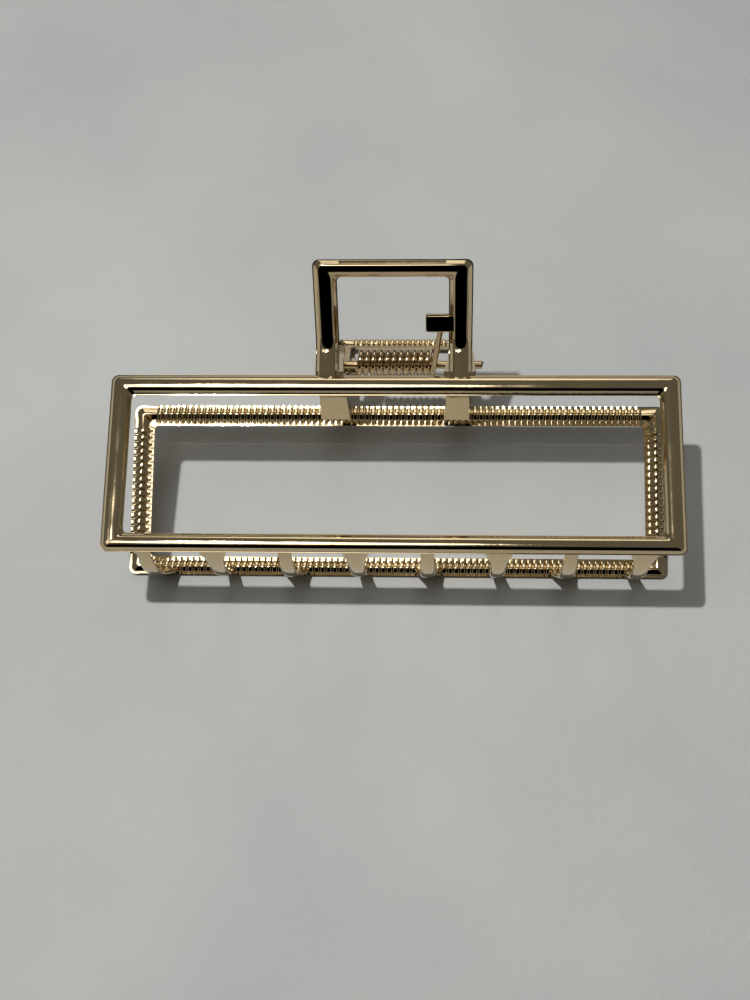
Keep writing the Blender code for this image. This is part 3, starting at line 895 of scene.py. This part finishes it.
# Soft patches of light round the clip: direction, inner and outer angle in degrees, colour, strength.
ROOM_PATCHES = (
    ((-0.11, -0.08, 0.99), 7.0, 9.5, (1.0, 0.98, 0.95), 3.0),
    ((0.0, 0.74, 0.67), 10.0, 17.0, (1.0, 0.98, 0.90), 1.3),
    ((-0.44, -0.06, 0.90), 5.0, 12.0, (1.0, 0.98, 0.93), 1.2),
)
# Dark patches: direction, inner and outer angle in degrees.
ROOM_SHADES = (
    ((0.02, -0.75, 0.66), 27.0, 34.0),
    ((0.02, -0.97, 0.20), 30.0, 50.0),
    ((0.0, 0.99, 0.10), 4.0, 20.0),
)
ROOM_GREY = (0.122, 0.122, 0.113)


def world_patch(tree, direction, inner, outer):
    """1 inside a cone round this direction, falling smoothly to 0 at its outer angle."""
    place = tree.nodes.new("ShaderNodeTexCoord")
    dot = tree.nodes.new("ShaderNodeVectorMath")
    dot.operation = "DOT_PRODUCT"
    dot.inputs[1].default_value = Vector(direction).normalized()
    tree.links.new(place.outputs["Generated"], dot.inputs[0])
    fade = tree.nodes.new("ShaderNodeMapRange")
    fade.interpolation_type = "SMOOTHSTEP"
    fade.inputs["From Min"].default_value = math.cos(math.radians(outer))
    fade.inputs["From Max"].default_value = math.cos(math.radians(inner))
    tree.links.new(dot.outputs["Value"], fade.inputs["Value"])
    return fade.outputs["Result"]


def add_room():
    """A grey room with soft patches of light and a dark side behind the viewer."""
    world = bpy.data.worlds.new("room")
    bpy.context.scene.world = world
    world.use_nodes = True
    tree = world.node_tree
    background = tree.nodes["Background"]
    light = None
    for direction, inner, outer, colour, strength in ROOM_PATCHES:
        fade = world_patch(tree, direction, inner, outer)
        add = tree.nodes.new("ShaderNodeVectorMath")
        add.operation = "MULTIPLY_ADD"
        add.inputs[0].default_value = [channel * strength for channel in colour]
        tree.links.new(fade, add.inputs[1])
        if light is None:
            add.inputs[2].default_value = ROOM_GREY
        else:
            tree.links.new(light, add.inputs[2])
        light = add.outputs["Vector"]
    for direction, inner, outer in ROOM_SHADES:
        fade = world_patch(tree, direction, inner, outer)
        keep = tree.nodes.new("ShaderNodeMath")
        keep.operation = "SUBTRACT"
        keep.inputs[0].default_value = 1.0
        tree.links.new(fade, keep.inputs[1])
        scale = tree.nodes.new("ShaderNodeVectorMath")
        scale.operation = "SCALE"
        tree.links.new(light, scale.inputs["Vector"])
        tree.links.new(keep.outputs["Value"], scale.inputs["Scale"])
        light = scale.outputs["Vector"]
    tree.links.new(light, background.inputs["Color"])


def add_lamp():
    """Small bare lamp high up on the left, which casts the crisp shadows."""
    lamp = bpy.data.objects.new("key", bpy.data.lights.new("key", "POINT"))
    lamp.data.energy = LAMP_WATTS
    lamp.data.shadow_soft_size = LAMP_RADIUS
    lamp.data.color = LAMP_COLOUR
    lamp.location = LAMP_PLACE
    bpy.context.scene.collection.objects.link(lamp)


# ---------------------------------------------------------------- the clip

def show(name, mesh, material, node, body):
    """Put a finished mesh in the scene in place of its CAD node."""
    piece = bpy.data.objects.new(name, mesh)
    bpy.context.scene.collection.objects.link(piece)
    mesh.materials.clear()
    mesh.materials.append(material)
    if body:
        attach(piece, body)
    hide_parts(node)
    flat = piece.modifiers.new("flat faces stay flat", "WEIGHTED_NORMAL")
    flat.keep_sharp = True
    return piece


def build_clip():
    """The two castings, the pin, and the spring, whose legs reach both jaws; the spring is put on
    neither jaw.
    """
    upper = casting_mesh()
    lower = upper.copy()
    upper.transform(CLIP)
    lower.transform(CLIP @ HALF_TURN)
    for mesh in (upper, lower):
        smooth(mesh, CASTING_CREASE)
    upper_finish = plating("upper_plating", GOLD, roughness=0.045, grain=0.10, pits=0.10)
    lower_finish = plating("lower_plating", GOLD, roughness=0.05, grain=0.10, pits=0.10)
    show("upper_casting", upper, upper_finish, "front_jaw", "upper_jaw")
    show("lower_casting", lower, lower_finish, "back_jaw", "lower_jaw")

    pin = closed_mesh("pin", pin_shape())
    pin.transform(CLIP)
    smooth(pin, PIN_CREASE)
    pin_finish = plating("pin_finish", PIN_TINT, roughness=0.12, grain=0.3, pits=0.1)
    show("pin", pin, pin_finish, "hinge_pin", "lower_jaw")

    spring = closed_mesh("spring", spring_shape())
    spring.transform(CLIP)
    smooth(spring, SPRING_CREASE)
    spring_finish = plating("spring_finish", SPRING_TINT, roughness=0.08, grain=0.25, pits=0.05)
    piece = show("spring", spring, spring_finish, "torsion_spring", None)
    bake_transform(piece)


bpy.context.scene.view_settings.view_transform = "Standard"
add_camera()
add_floor()
add_room()
add_lamp()
build_clip()
